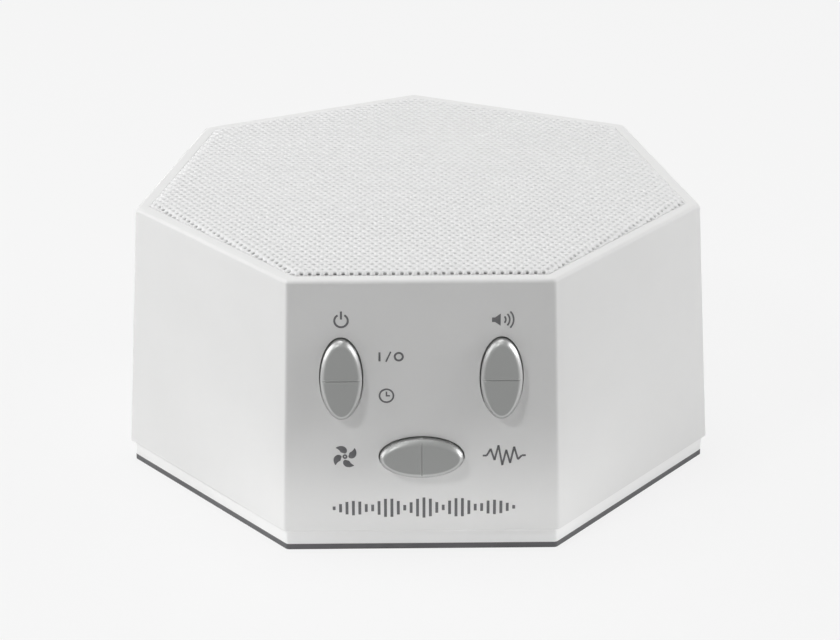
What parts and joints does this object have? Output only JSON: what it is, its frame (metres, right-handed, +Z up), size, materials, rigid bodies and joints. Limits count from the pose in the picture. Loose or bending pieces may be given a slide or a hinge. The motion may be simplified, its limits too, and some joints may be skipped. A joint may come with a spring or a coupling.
{
  "type": "white noise sound machine",
  "caption": "Tabletop white noise sound machine with a tapered seven-sided white housing, a perforated speaker grille on top, a front face with oval rocker keys and a rubber foot ring.",
  "frame": {"origin": "centre of the seven-sided outline, on the plane that the foot ring stands on", "axes": "+Z up, front face with the rockers towards -Y, +X to the right seen from the front"},
  "size_m": [0.113, 0.1113, 0.0531],
  "materials": {
    "shell_white": "fine-grained moulded white plastic",
    "grille_white": "white painted perforated sheet",
    "base_white": "fine-grained moulded white plastic",
    "foot_rubber": "dark grey rubber",
    "rocker_grey": "satin grey plastic",
    "carrier_plastic": "plain moulded plastic",
    "silicone": "soft translucent silicone",
    "board_green": "green solder mask",
    "chip_black": "black moulded package",
    "socket_black": "black moulded socket",
    "connector_ivory": "ivory nylon",
    "capacitor_sleeve": "dark blue sleeve",
    "plated_steel": "zinc-plated steel",
    "basket_steel": "black painted pressed steel",
    "ferrite": "dark ferrite",
    "paper_cone": "black pressed paper",
    "surround_rubber": "black rubber",
    "spider_cloth": "amber resin-dipped cloth",
    "coil_copper": "enamelled copper winding",
    "foam_black": "closed-cell foam",
    "pin_metal": "plated contact pin",
    "terminal_board": "brown fibre board with plated tags",
    "ribbon_grey": "grey flat cable",
    "wire_red": "red insulation"
  },
  "bodies": {
    "machine": {"housing": "shell_white", "grille": "grille_white", "base_cover": "base_white", "foot_ring": "foot_rubber", "housing_screws": "plated_steel", "speaker_gasket": "foam_black", "speaker_frame": "basket_steel", "speaker_surround": "surround_rubber", "speaker_spider": "spider_cloth", "speaker_top_plate": "plated_steel", "speaker_magnet": "ferrite", "speaker_yoke": "plated_steel", "speaker_terminals": "terminal_board", "speaker_screws": "plated_steel", "rocker_carrier": "carrier_plastic", "keypad_web": "silicone", "power_domes": "silicone", "volume_domes": "silicone", "sound_domes": "silicone", "control_board": "board_green", "control_screws": "plated_steel", "main_board": "board_green", "main_board_screws": "plated_steel", "sound_chip": "chip_black", "amplifier_chip": "chip_black", "memory_chip": "chip_black", "capacitors": "capacitor_sleeve", "power_socket": "socket_black", "power_pin": "pin_metal", "audio_jack": "socket_black", "speaker_plug": "connector_ivory", "ribbon_sockets": "connector_ivory", "ribbon_cable": "ribbon_grey", "speaker_wires": "wire_red"},
    "power_key": {"power_rocker": "rocker_grey"},
    "volume_key": {"volume_rocker": "rocker_grey"},
    "sound_key": {"sound_rocker": "rocker_grey"},
    "cone_unit": {"speaker_cone": "paper_cone", "dust_cap": "paper_cone", "voice_coil": "coil_copper"}
  },
  "joints": [
    {"name": "power_rock", "type": "hinge", "parent": "machine", "child": "power_key", "pos_m": [-0.0144, -0.0473, 0.03385], "axis": [1, 0, 0], "range_deg": [-3, 3], "stiffness_Nm_per_rad": 0.17, "deforming": ["power_domes"]},
    {"name": "volume_rock", "type": "hinge", "parent": "machine", "child": "volume_key", "pos_m": [0.0144, -0.0473, 0.03385], "axis": [1, 0, 0], "range_deg": [-3, 3], "stiffness_Nm_per_rad": 0.17, "deforming": ["volume_domes"]},
    {"name": "sound_rock", "type": "hinge", "parent": "machine", "child": "sound_key", "pos_m": [0, -0.04815, 0.01857], "axis": [0, -0.0556, -0.9985], "range_deg": [-3, 3], "stiffness_Nm_per_rad": 0.17, "deforming": ["sound_domes"]},
    {"name": "cone_slide", "type": "slide", "parent": "machine", "child": "cone_unit", "axis": [0, 0, 1], "range_m": [-0.0015, 0.0015], "stiffness_N_per_m": 800, "deforming": ["speaker_surround", "speaker_spider"]}
  ]
}
